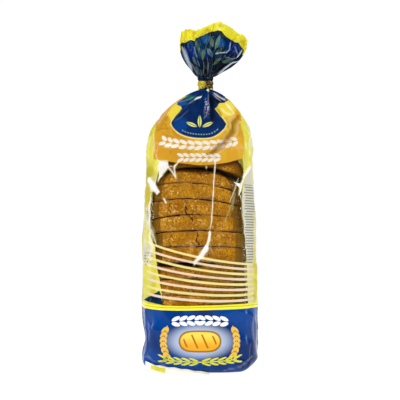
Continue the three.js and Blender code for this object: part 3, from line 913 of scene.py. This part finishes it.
def body_print():
    s = Surface("printed_film")
    x, y, z = s.x, s.y, s.z
    across = s.attribute("across")
    painted_glare = s.attribute("painted_glare")
    shade = s.attribute("shade")
    front = (-y).above(0, 1)

    # Yellow sides in two tones, with milky patches beside the window and short dashes on a pale patch
    tones = s.noise(60, 3, 0.4).ramp(0.4, 0.6)
    s.colour = s.mix((232, 226, 84), (208, 196, 66), tones)
    milky = s.noise(95, 3, 0.5).ramp(0.5, 0.62) * z.above(85, 15) * z.below(172, 12)
    s.paint((240, 240, 222), milky * (-y).above(20, 6) * 0.75)
    s.paint((190, 178, 40), spot(x, z, -43.5, 168, 8, 10) * front * 0.85)
    pale_patch = spot(x, z, -45.5, 101, 7, 12) * front
    s.paint((222, 220, 200), pale_patch * 0.85)
    marks = (z / 2.5).cycle()
    broken = s.noise(700, 1, 0.35).above(0.5, 0.06)
    marks = marks.within(0.24, 0.1) * broken * z.above(90.5) * z.below(103) * x.below(-40) * x.above(-48.5)
    s.paint((120, 124, 112), marks * front * 0.8)

    # Golden field of the upper part
    gold = s.attribute("gold")
    rich = s.noise(38, 3, 0.6).ramp(0.35, 0.65)
    golden = s.mix((216, 158, 42), (232, 184, 54), rich)
    golden = s.mix(golden, (232, 204, 88), spot(x, z, 27, 213, 9, 15) * 0.7)
    # Painted shade of small wrinkles over the golden field
    wrinkle_shade = s.noise(110, 4, 0.55, 0.6).ramp(0.56, 0.68)
    golden = s.mix(golden, (180, 136, 30), wrinkle_shade * 0.5)
    in_gold = gold.above(0)
    s.paint(golden, in_gold)
    s.paint((242, 222, 74), s.attribute("wedge").above(0, 1.2))

    # White ornament across the golden field: two ears of grain
    upper = z - (across / 36).squared() * 5.2 - UPPER_EAR_Z
    ears = grain_row(across + 2.2, upper, 6.6, 8.4, -5, 6) * upper.within(4.4)
    lower = z - LOWER_EAR_Z
    ears = ears.most(grain_row(across + 1.5, lower, 5.2, 7.6, -3, 4) * lower.within(3.9))
    s.paint((246, 241, 226), ears * in_gold * 0.95)

    # Blue field that comes down from the neck
    blue = s.attribute("blue")
    in_blue = blue.above(0, 0.3)
    outline = (blue + 0.75).within(0.42, 0.2) * z.below(222, 1) * front
    s.paint((242, 236, 150), outline)
    tonal = s.noise(45, 3).ramp(0.35, 0.7)
    blues = s.mix((0, 44, 100), (0, 27, 66), tonal)
    blues = s.patches(blues, BLUE_PATCHES)
    # Painted white glints on the crumpled twist under the tie
    twist_glint = spot(x + z * 0.12, z, 33.6, 230, 2.6, 12) * s.noise(620, 2, 0.7).ramp(0.53, 0.6)
    blues = s.mix(blues, (186, 192, 226), twist_glint * 0.75)
    s.paint(blues, in_blue)
    dashes = (blue - DASH_INSET).within(0.55, 0.2) * (x / DASH_PITCH).cycle().within(0.3, 0.1)
    dashes = dashes * x.above(-15.5) * x.below(16) * z.below(209.5)
    s.paint((128, 156, 150), dashes * front * 0.8)
    for degrees, at_x, at_z, long in LEAF_BLADES:
        off, along = turned(x, z, at_x, at_z, degrees)
        blade = ((along / long).squared().flip() * 1.75 - abs(off)).ramp(-0.15, 0.2)
        vein = abs(off).below(0.35, 0.2) * 0.75
        s.paint((206, 208, 112), blade * vein.flip() * front)

    # Window: clear from the golden field down to the yellow line
    cover = (s.attribute("window").above(0) * gold.below(0)).flip()

    # White side panel with fine grey rules
    panel = s.attribute("panel")
    pale = s.mix((238, 234, 160), (224, 224, 210), z.ramp(86, 98))
    s.paint(pale, panel.above(0))
    rule = (z / RULE_PITCH).cycle()
    wander = s.noise(26, 1, 10) * 9
    rules = rule.within(0.2, 0.1) * panel.above(0.4) * (x + wander).above(43.2) * z.above(92) * z.below(160)
    s.paint((112, 114, 116), rules * 0.85)
    cover = cover * (panel.above(0) * 0.16).flip()

    # Dark corner above the left end of the yellow line
    corner = s.mix((2, 56, 88), (4, 34, 62), tones)
    s.paint(corner, s.attribute("foot_corner").above(0))

    # Eight pale strands across the window's foot, each with a painted shadow along its lower edge
    span = across / STRAND_SPAN
    start = span.squared() * 3.25 - span * 9.35 + TOP_STRAND_Z
    pitch = span.squared() * 0.06 - span * 1.02 + STRAND_PITCH
    count = (start - z) / pitch
    strand = (count + 0.5).cycle()
    counted = count.above(-0.5, 0.02) * count.below(STRANDS - 0.5, 0.02)
    reach = across.above(-49) * across.below(52)
    thick = s.noise(60, 1) * 0.5 + 0.8
    on_strand = (thick - abs(strand * pitch)).ramp(-0.15, 0.2) * counted * reach
    seen = s.attribute("window").above(0.3)
    # Painted shadow under each strand, stronger towards the right
    under = (strand * pitch - 1.45).within(0.5, 0.3) * counted * seen * across.ramp(-8, 26)
    parity = ((count + 0.5) / 2).math("FRACT").above(0.5, 0.01)
    cream = s.mix((248, 234, 158), (246, 224, 192), parity)
    s.paint((58, 30, 8), under * cover.flip())
    s.paint(cream, on_strand)
    cover = cover.most(on_strand * 0.97).most(under * 0.85)

    # Yellow line and blue band round the foot
    rise = (across / STRAND_SPAN).squared().least(1.1)
    wave = (across / 19).math("SINE") * 0.5 + rise * 0.9
    level = z - wave
    edge = rise * 0.3 + LINE_TOP
    line = level.above(LINE_FOOT) * (level - edge).below(0)
    s.paint((230, 224, 54), line)
    s.paint((176, 164, 36), (level - 55.3).within(0.3, 0.2))
    cover = cover.most((level - edge).below(0))
    foot = level.below(LINE_FOOT)
    foot_tone = s.mix((0, 60, 134), (0, 38, 94), s.noise(30, 3).ramp(0.4, 0.65))
    s.paint(foot_tone, foot)

    # Foot: a pale glow, a row of white grain, a plain loaf between two golden ears, a garland of leaves
    on_foot = foot * front
    glow = spot(x, z, 0, LOAF_PRINT_Z, 33, 17)
    s.paint((188, 202, 224), glow * on_foot * 0.9)
    arch = z + (x / 26).squared() * 1.6 - TOP_EAR_Z
    title = grain_row(abs(x), arch, 6.4, 8.4, 0, 4) * arch.within(4.3)
    s.paint((240, 240, 238), title * on_foot)
    oval = (x / 17).squared().squared() + ((z - LOAF_PRINT_Z) / 8.2).squared()
    s.paint((150, 98, 14), oval.below(1.25, 0.1) * on_foot)
    crown = s.mix((226, 160, 34), (246, 208, 84), z.ramp(22, 33))
    s.paint(crown, oval.below(0.9, 0.1) * on_foot)
    cut = ((x + z * 0.45 - 12) / 8.6).cycle()
    cuts = cut.within(0.09, 0.05) * oval.below(0.5, 0.08)
    s.paint((160, 100, 18), cuts * on_foot)
    for mirror in (-1, 1):
        bend = (z - LOAF_PRINT_Z) / 17
        off = x * mirror - bend.squared() * 6 + SIDE_EAR_X
        ear = grain_row(z - 15, off, 4.2, 6.2, 0, 6) * off.within(3)
        stalk = off.within(0.4, 0.15) * z.above(9) * z.below(40)
        s.paint((222, 178, 60), ear.most(stalk) * on_foot)
    curve = z - (x / 36).squared() * 3 - GARLAND_Z
    leaves = leaf_row(abs(x), curve, 6.6, 3.4, 5)
    stem = curve.within(0.45, 0.2) * x.within(31)
    s.paint((206, 206, 52), leaves.most(stem) * on_foot)

    # Painted shade in the folds: brown in the golden field, near black elsewhere
    fold_shade = s.mix((2, 6, 12), (142, 88, 12), in_gold * in_blue.flip())
    s.paint(fold_shade, shade)
    bumps = s.noise(130, 3, 0.7) + s.noise(420, 2) * 0.15
    normal = s.bump(bumps, 0.22)
    glow_through = z.above(58, 4) * (in_blue * 0.8).flip() * 0.3
    return film_surface(s, cover * 0.985, glow_through, normal, painted_glare)


def fan_print():
    s = Surface("printed_film_fan")
    rim = s.attribute("rim")
    front = s.attribute("front")
    blue = s.mix((0, 52, 88), (0, 24, 52), s.noise(60, 3).ramp(0.4, 0.62))
    blue = s.patches(blue, FAN_PATCHES)
    # Painted shade: the blue darkens to near black towards the neck, and the leaves fade under it
    neck_shade = s.z.ramp(266, 287).flip() * (s.noise(120, 3).ramp(0.35, 0.65) * 0.35 + 0.65)
    blue = s.mix(blue, (0, 5, 9), neck_shade * 0.95)
    grain = s.noise(150, 2).ramp(0.35, 0.65)
    olive = s.mix((92, 122, 98), (58, 84, 62), grain)
    pale = s.mix((92, 122, 138), (62, 90, 112), grain)
    soft = neck_shade * 0.45
    s.colour = s.mix(blue, olive, s.attribute("olive").above(0, 0.2) * front * soft.flip() * 0.9)
    s.paint(pale, s.attribute("pale").above(0, 0.2) * front * soft.flip() * 0.9)
    vein = s.attribute("olive").most(s.attribute("pale"))
    s.paint((40, 70, 84), (vein - 1.25).ramp(0, 0.3) * 0.5)
    left = s.attribute("side").below(-0.5, 0.02)
    border = (rim - left * 2.4).below(7.6, 0.3)
    s.paint((5, 10, 44), (rim - left * 2.4 - 8.6).within(0.5, 0.4) * 0.8)
    yellow = s.mix((244, 236, 52), (206, 184, 40), s.noise(120, 3).ramp(0.5, 0.75))
    # Pale cream spots on the yellow border are painted highlights
    yellow = s.mix(yellow, (252, 248, 150), s.noise(170, 2).ramp(0.58, 0.7) * 0.7)
    s.paint(yellow, border)
    s.paint((4, 8, 14), s.attribute("shade") * (border * -0.75 + 1))
    bumps = s.noise(150, 3) + s.noise(460, 2) * 0.15
    normal = s.bump(bumps, 0.25)
    # The fan's crease highlights are painted bluish white
    return film_surface(s, 0.985, border * 0.4, normal, s.attribute("painted_glare"), (222, 234, 250), 0.06)


# Places of the top crust with painted highlights: x, z and their half sizes
GLARE_SPOTS = [(-21, 152.5, 6, 2.6), (-8, 139.4, 3.4, 4), (-5, 147, 6, 3.6), (-1, 126.5, 7, 5)]
GLARE_SPOTS += [(-25, 114, 7, 3.4), (-22, 166, 7, 4), (-24, 139, 6, 5), (14, 112, 8, 3)]


def crust_surface():
    s = Surface("bread")
    x, y, z = s.x, s.y, s.z
    mottle = s.noise(75, 4, roughness=0.6).ramp(0.32, 0.68)
    s.colour = s.mix((154, 98, 4), (192, 136, 26), mottle)
    speckle = s.noise(900, 2).ramp(0.46, 0.6)
    s.paint((112, 62, 2), speckle * 0.6)
    # Light flecks: partly flour on the crust, partly painted highlight that is strongest in the glare
    # patches
    light = s.noise(400, 4, roughness=0.75).ramp(0.5, 0.66)
    glare_patches = s.noise(55, 2).ramp(0.42, 0.62)
    for at_x, at_z, half_x, half_z in GLARE_SPOTS:
        glare_patches = glare_patches.most(spot(x, z, at_x, at_z, half_x, half_z) * 1.3)
    s.paint((226, 184, 104), light * (glare_patches * 0.75 + 0.15))
    pits = s.cells(420).below(0.2, 0.06) * s.noise(140, 2).ramp(0.46, 0.56)
    s.paint((84, 46, 8), pits * 0.85)
    dots = s.cells(190).below(0.1, 0.03)
    s.paint((70, 36, 6), dots * 0.8)
    # Painted shade on the bevelled sides, then the crack and the brown upper heel
    flank = s.attribute("flank")
    edge_noise = s.noise(160, 2) * 0.3 - 0.15
    s.paint((108, 74, 12), (flank + edge_noise).ramp(0.35, 0.6) * 0.9)
    crack = s.attribute("crack")
    red = spot(x, z, -1.5, 108, 4, 12) * s.noise(210, 3).ramp(0.5, 0.62)
    s.paint((148, 62, 8), red * 0.6)
    s.paint((226, 186, 106), crack.ramp(0.05, 0.3) * light.ramp(0, 0.5) * 0.8)
    s.paint((74, 36, 4), crack.ramp(0.38, 0.7) * 0.9)
    heel = s.mix((124, 74, 18), (96, 54, 12), mottle)
    s.paint(heel, z.ramp(172.5, 178) * s.attribute("heel"))
    crumb = s.mix((190, 146, 80), (150, 104, 48), s.noise(500, 3).ramp(0.4, 0.65))
    holes = s.cells(260).below(0.22, 0.05)
    crumb = s.mix(crumb, (112, 72, 30), holes * 0.7)
    # The heel's crumb is painted darker as shade in the gap beneath it
    crumb = s.mix(crumb, (60, 34, 12), s.attribute("heel") * 0.7)
    s.paint(crumb, s.attribute("crumb"))
    height = s.noise(260, 4) + s.noise(900, 2) * 0.5 - pits * 0.8 - dots
    normal = s.bump(height, 0.8)
    shader = s.shader(
        "BsdfPrincipled",
        Base_Color=s.colour,
        Roughness=0.8,
        Specular_IOR_Level=0.05,
        Normal=normal,
    )
    return s.finish(shader)


# Where the rough crack of the top crust runs, as (x, z)
CRACK = [(-11, 146), (-9.6, 138.7), (-9, 132.4), (-5.6, 129), (-5.3, 123.9), (-2.6, 117.5)]
CRACK += [(-3.4, 110), (-2.4, 101.7), (-1, 92), (-2, 80)]

# How far the upper slices stand out of line, by their number from 0
UPPER_SHIFTS = {11: 0, 10: -1.6, 9: -2.4, 8: -0.8, 7: 1.3, 6: 1}

# How the upper joints slope down to the right, by their number from 0 at the base
JOINT_SLOPES = {12: -0.08, 11: -0.08, 10: -0.035}

# Where the darker flanks of a slice begin, as shares of its half width
FLANK_LEFT = 0.75
FLANK_RIGHT = 0.725


def slice_piece(name, low, high, material, seed, shift, tilt, slopes, dome=0, slump=0, heel=False):
    """One slice of the loaf: crust round its edge and crumb on its two cut faces."""
    columns = 340
    angle = spread_angles(columns, 1.6)
    middle = (low + high) / 2
    half = (high - low) / 2
    # Rows from the middle of the low face, out, up the crust and back to the middle of the high face
    face_shares = [0, 0.35, 0.7, 0.9]
    side = np.linspace(-half + CRUST_BEVEL, half - CRUST_BEVEL, 11)
    rows = [(share, -half, 1) for share in face_shares]
    rows += [(0.965, -half, 0.8), (0.985, -half + 0.3, 0.4)]
    rows += [(1, offset, 0) for offset in side]
    rows += [(0.985, half - 0.3, 0.4), (0.965, half, 0.8)]
    rows += [(share, half, 1) for share in reversed(face_shares)]
    points = []
    values = {"crumb": [], "flank": [], "crack": [], "heel": []}
    for share, offset, soft in rows:
        z = middle + offset
        level = min(z, LOAF_TAPER_END_Z)
        end = max(0, (level - LOAF_TAPER_Z) / LOAF_TAPER_LENGTH)
        foot = np.clip((LOAF_BASE + FOOT_HEIGHT - z) / FOOT_HEIGHT, 0, 1)
        up = (offset + half) / (2 * half)
        rounding = dome * np.clip(up, 0, 1) ** 3
        narrowing = HEEL_NARROWING if heel else LOAF_TAPER * end**LOAF_TAPER_POWER
        half_width = LOAF_HALF_WIDTH * (1 - narrowing)
        half_width *= (1 - FOOT_NARROWING * foot**2) * (1 - rounding)
        half_depth = LOAF_HALF_DEPTH * (1 - LOAF_THINNING * end**2)
        half_depth *= (1 - FOOT_THINNING * foot**2) * (1 - 0.6 * rounding)
        across = np.abs(np.cos(angle) / half_width) ** LOAF_SQUARENESS
        across = across + np.abs(np.sin(angle) / half_depth) ** LOAF_SQUARENESS
        radius = across ** (-1 / LOAF_SQUARENESS)
        at = np.full(columns, float(z))
        rough = 0.45 * ripple(angle * 9 + seed, at / 9, 53)
        rough = rough + 0.3 * ripple(angle * 30 + seed, at / 3, 59)
        rough = rough + 0.22 * ripple(angle * 75 + seed, at / 1.1, 57)
        lump = 0.7 * ripple(angle * 2 + seed * 3, np.full(columns, seed * 1.7), 61)
        radius = radius + rough * (share > 0.95) + lump
        x = radius * np.cos(angle) * share
        y = radius * np.sin(angle) * share
        jitter = 1.5 * ripple(at / 1.9, at * 0, 73)
        away, _ = line_distance(LOAF_X + x + jitter, at, CRACK)
        front = np.sin(angle) < -0.5
        patchy = np.clip(0.7 + 0.8 * ripple(at / 4 + 5, x / 4, 71), 0.15, 1.2)
        half_crack = 1 + 0.5 * ripple(at / 2.5, x / 9, 75)
        crack = np.exp(-((away / half_crack) ** 2)) * front * patchy * (share > 0.95)
        y = y + CRACK_DEPTH * crack
        waviness = 0.5 * ripple(x / 9 + seed, y / 9, 67) + 0.35 * ripple(x / 2.6 + seed, y / 2.6, 69)
        bow = max(0, level - BOW_START_Z) * BOW_RATE * (x / 38) ** 2
        hang = heel * HEEL_HANG * smoothstep(x, 6, 38)
        sunk = slump * up * smoothstep(-y, 0, 38) * (1 - smoothstep(x, 0, 18))
        lift = offset + waviness * (share < 0.99) - bow - hang - sunk
        lift = lift + (tilt[0] + lerp(slopes[0], slopes[1], up)) * x + tilt[1] * y
        points.append(np.stack([LOAF_X + shift[0] + x, shift[1] + y, middle + lift], -1))
        values["crumb"].append(np.full(columns, soft))
        edge = np.where(x > 0, FLANK_RIGHT, FLANK_LEFT)
        values["flank"].append(smoothstep(np.abs(x) / half_width, edge, edge + 0.04))
        values["crack"].append(crack)
        values["heel"].append(np.full(columns, float(heel)))
    values = {label: np.concatenate(numbers) for label, numbers in values.items()}
    return new_piece(name, points, grid_faces(len(rows), columns), material, values)


def loaf(material):
    """Slices from the lower heel to the upper one, each a little out of line."""
    draw = np.random.RandomState(4)
    joints = [LOAF_BASE + HEEL_THICKNESS + index * SLICE_PITCH for index in range(SLICE_JOINTS)]
    edges = [LOAF_BASE] + joints
    pieces = []
    for index, (low, high) in enumerate(zip(edges, edges[1:])):
        shift = tuple(draw.uniform(-0.5, 0.5, 2))
        tilt = tuple(draw.uniform(-0.006, 0.006, 2))
        gap = draw.uniform(0.3, 0.7)
        slump = FRONT_SLUMP if index == GAP_JOINT else 0
        slopes = (JOINT_SLOPES.get(index, 0), JOINT_SLOPES.get(index + 1, 0))
        shift = (shift[0] + UPPER_SHIFTS.get(index, 0), shift[1])
        dome = SLICE_DOME if index == SLICE_JOINTS - 1 else 0
        name = f"slice_{index + 1:02d}"
        ends = (low + gap, high - 0.2)
        pieces.append(slice_piece(name, *ends, material, index + 1, shift, tilt, slopes, dome, slump))
    ends = (joints[-1] + 1.2, LOAF_TOP + 2)
    heel = slice_piece("heel_top", *ends, material, 20, HEEL_SHIFT, HEEL_TILT, (0, 0), HEEL_DOME, 0, True)
    pieces.append(heel)
    return pieces


def plain_surface(name, colour, roughness, emission=0):
    s = Surface(name)
    grain = s.noise(40, 2)
    tint = s.mix(colour, [value * 0.985 for value in colour], grain)
    shader = s.shader("BsdfPrincipled", Base_Color=tint, Roughness=roughness)
    if emission:
        light = s.shader("Emission", Color=(255, 255, 255), Strength=1.5)
        shader = s.mix_shaders(shader, light, emission)
    return s.finish(shader)


# Turns of the tie's tape, as the height of each turn's middle at the left and at the right
TIE_TURNS = [(250.4, 253.6), (253.4, 250.6), (254.6, 254.9)]

# Its two ends at the front: start and end as (x, z), and how many turns each is twisted
TAPE_ENDS = [((6.4, 251.6), (7.6, 245.4), 0.8), ((8, 252.2), (10.4, 248), 0.6)]
TAPE_END_HALF_WIDTH = 1.25


def tie_tape(material):
    """Flat tape wound round the neck, each turn at its own slant, with two twisted ends at the front."""
    columns = 150
    rows = 13
    steps = 26
    points = []
    faces = []
    for number, (left, right) in enumerate(TIE_TURNS):
        faces += grid_faces(rows, columns, start=len(points))
        for row in range(rows):
            share = row / (rows - 1) * 2 - 1
            for column in range(columns):
                angle = column / columns * 2 * math.pi
                side = math.cos(angle)
                crumple = 0.3 * math.sin(angle * 7 + number * 2) + 0.22 * math.sin(angle * 17 + share * 2)
                radius = TIE_RADIUS + 0.35 * number + 0.45 * (1 - share**2) + crumple
                half = TAPE_HALF_WIDTH * (1 + 0.18 * math.sin(angle * 3 + number * 1.7))
                z = lerp(left, right, 0.5 + 0.5 * side) + share * half
                points.append((NECK_X + radius * side, radius * math.sin(angle), z))
    for (from_x, from_z), (to_x, to_z), turns in TAPE_ENDS:
        faces += grid_faces(steps, 4, closed=False, start=len(points))
        for step in range(steps):
            along = step / (steps - 1)
            turn = along * turns * 2 * math.pi
            out = lerp(TIE_RADIUS + 0.6, TIE_RADIUS + 3.4, along)
            for across in (-1, -0.33, 0.33, 1):
                x = lerp(from_x, to_x, along) + across * TAPE_END_HALF_WIDTH * math.cos(turn)
                y = -out + across * TAPE_END_HALF_WIDTH * math.sin(turn)
                points.append((x, y, lerp(from_z, to_z, along)))
    return thickened(new_piece("tie_tape", points, faces, material))


def tie_surface():
    s = Surface("tie_tape")
    # Painted shade: the gold tape turns dark brown towards its right, with dark specks and a few lighter
    # flecks there
    right = s.x.ramp(2.4, 6.4)
    s.colour = s.mix((186, 168, 30), (66, 50, 2), right)
    s.paint((34, 26, 2), s.noise(330, 3).ramp(0.46, 0.6) * (right * 0.7 + 0.2))
    s.paint((172, 146, 34), s.noise(420, 2).ramp(0.57, 0.66) * right)
    s.paint((206, 204, 150), s.z.below(248.6, 0.8))
    normal = s.bump(s.noise(420, 3), 0.5, 0.0008)
    shader = s.shader(
        "BsdfPrincipled", Base_Color=s.colour, Roughness=0.3, Specular_IOR_Level=0.25, Normal=normal
    )
    return s.finish(shader)


# Bottom seal: its two ends, how high it folds up the bag, and how far it reaches forward, by x
SEAL_LEFT = -46.5
SEAL_RIGHT = 8
SEAL_TOP = [(-46.5, 9), (-38, 6.8), (-18, 4.6), (0, 1.8), (8, 0.9)]
SEAL_FRONT = [(-46.5, -33), (-41.5, -40), (-26, -53.4), (8, -49)]
SEAL_CLEARANCE = 0.9
SEAL_LYING = 0.4
SEAL_TUCK = 8
SEAL_REST_Z = 0.7


def seal_film(material):
    """The bottom seal: it lies on the ground in front of the bag and folds back up its left corner."""
    columns = 80
    rows = 30
    points = []
    for row in range(rows):
        v = row / (rows - 1)
        for column in reversed(range(columns)):
            u = column / (columns - 1)
            x = lerp(SEAL_LEFT, SEAL_RIGHT, u)
            top = float(np.interp(x, *zip(*SEAL_TOP))) + 0.3 * math.sin(u * 31)
            front = float(np.interp(x, *zip(*SEAL_FRONT))) + 0.5 * math.sin(u * 17)
            half_width, half_depth, power = section(np.array(top))
            face = -half_depth * (1 - abs((x - BODY_SWAY) / half_width) ** power) ** (1 / power)
            face -= SEAL_CLEARANCE
            if v < SEAL_LYING:
                y = lerp(face + SEAL_TUCK, front, v / SEAL_LYING)
                z = SEAL_REST_Z
            else:
                t = (v - SEAL_LYING) / (1 - SEAL_LYING)
                y = curved(front, lerp(front, face, 0.2), face, t)
                z = curved(SEAL_REST_Z, top * 0.75, top, t)
            ripples = 0.35 * math.sin(u * 23 + v * 3) * math.sin(math.pi * v)
            points.append((x, y - ripples * 0.5, z + ripples))
    faces = grid_faces(rows, columns, closed=False)
    return thickened(new_piece("film_seal", points, faces, material))


def seal_surface():
    s = Surface("seal_film")
    strip = s.x.below(-29, 0.5) * s.x.above(-41.5, 0.5) * (s.z + s.x * 0.12).within(1.6, 0.3)
    s.colour = s.mix((255, 253, 246), (226, 218, 62), strip)
    normal = s.bump(s.noise(200, 3), 0.4)
    cover = strip * 0.12 + 0.85
    return film_surface(s, cover, 0.3, normal)


# Floor and backdrop, in metres
FLOOR_HALF_WIDTH = 1.6
FLOOR_FRONT_Y = -0.5
FLOOR_BACK_Y = 1.2
BACKDROP_CURVE = 0.8
BACKDROP_TOP = 2.4


def stage_set():
    """A white floor that curves up into a white backdrop."""
    profile = [(FLOOR_FRONT_Y, 0), (FLOOR_BACK_Y, 0)]
    for step in range(1, 13):
        turn = step / 12 * math.pi / 2
        y = FLOOR_BACK_Y + BACKDROP_CURVE * math.sin(turn)
        profile.append((y, BACKDROP_CURVE * (1 - math.cos(turn))))
    profile.append((FLOOR_BACK_Y + BACKDROP_CURVE, BACKDROP_TOP))
    points = []
    for y, z in profile:
        points += [(-FLOOR_HALF_WIDTH, y, z), (FLOOR_HALF_WIDTH, y, z)]
    points = np.array(points) / MM
    faces = grid_faces(len(profile), 2, closed=False)
    new_piece("floor", points, faces, plain_surface("floor_white", (250, 250, 250), 0.7, 0.55))


def aim(thing, target):
    gaze = Vector(target) - Vector(thing.location)
    thing.rotation_euler = gaze.to_track_quat("-Z", "Y").to_euler()


# Lights: name, place, width, height and power
LIGHTS = [
    ("key_left", (-0.55, -0.75, 0.85), 0.35, 0.35, 8.7),
    ("key_right", (0.6, -0.75, 0.75), 0.35, 0.35, 6.3),
    ("strip_right", (0.6, -0.15, 0.3), 0.08, 0.6, 1.5),
    ("strip_left", (-0.6, -0.1, 0.3), 0.08, 0.6, 1.5),
]
LIGHTS_AIM = (0, 0, 0.16)
AMBIENT = 0.1


def lights():
    """Four soft lamps and a dim white world, which the camera itself sees as plain white."""
    world = bpy.data.worlds.new("studio")
    world.use_nodes = True
    tree = world.node_tree
    dim = add_node(tree, "Background", {"Color": (255, 255, 255), "Strength": AMBIENT})
    seen = add_node(tree, "Background", {"Color": (255, 255, 255), "Strength": 1})
    path = add_node(tree, "LightPath", {})
    inputs = {0: path.outputs["Is Camera Ray"], 1: dim.outputs[0], 2: seen.outputs[0]}
    choice = add_node(tree, "MixShader", inputs)
    tree.links.new(choice.outputs[0], tree.nodes["World Output"].inputs["Surface"])
    bpy.context.scene.world = world
    for name, place, width, height, power in LIGHTS:
        light = bpy.data.lights.new(name, "AREA")
        light.shape = "RECTANGLE"
        light.size = width
        light.size_y = height
        light.energy = power
        lamp = bpy.data.objects.new(name, light)
        bpy.context.collection.objects.link(lamp)
        lamp.location = place
        aim(lamp, LIGHTS_AIM)


def camera():
    data = bpy.data.cameras.new("camera")
    data.sensor_width = SENSOR_MM
    data.lens = FOCAL_PIXELS / IMAGE_PIXELS * SENSOR_MM
    data.clip_start = 0.01
    viewer = bpy.data.objects.new("camera", data)
    bpy.context.collection.objects.link(viewer)
    viewer.location = (0, -CAMERA_DISTANCE, CAMERA_HEIGHT)
    aim(viewer, (0, 0, CAMERA_HEIGHT + CAMERA_DISTANCE * math.tan(CAMERA_PITCH)))
    bpy.context.scene.camera = viewer


camera()
lights()
stage_set()
bpy.context.scene.view_settings.view_transform = "Standard"

body = body_film(body_print())
fan = fan_film(fan_print())
seal = seal_film(seal_surface())
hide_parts("bag")
for piece in (body, fan, seal):
    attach(piece, "root")
for piece in loaf(crust_surface()):
    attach(piece, "root")

tape = tie_tape(tie_surface())
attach(tape, "root")
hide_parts("tie")
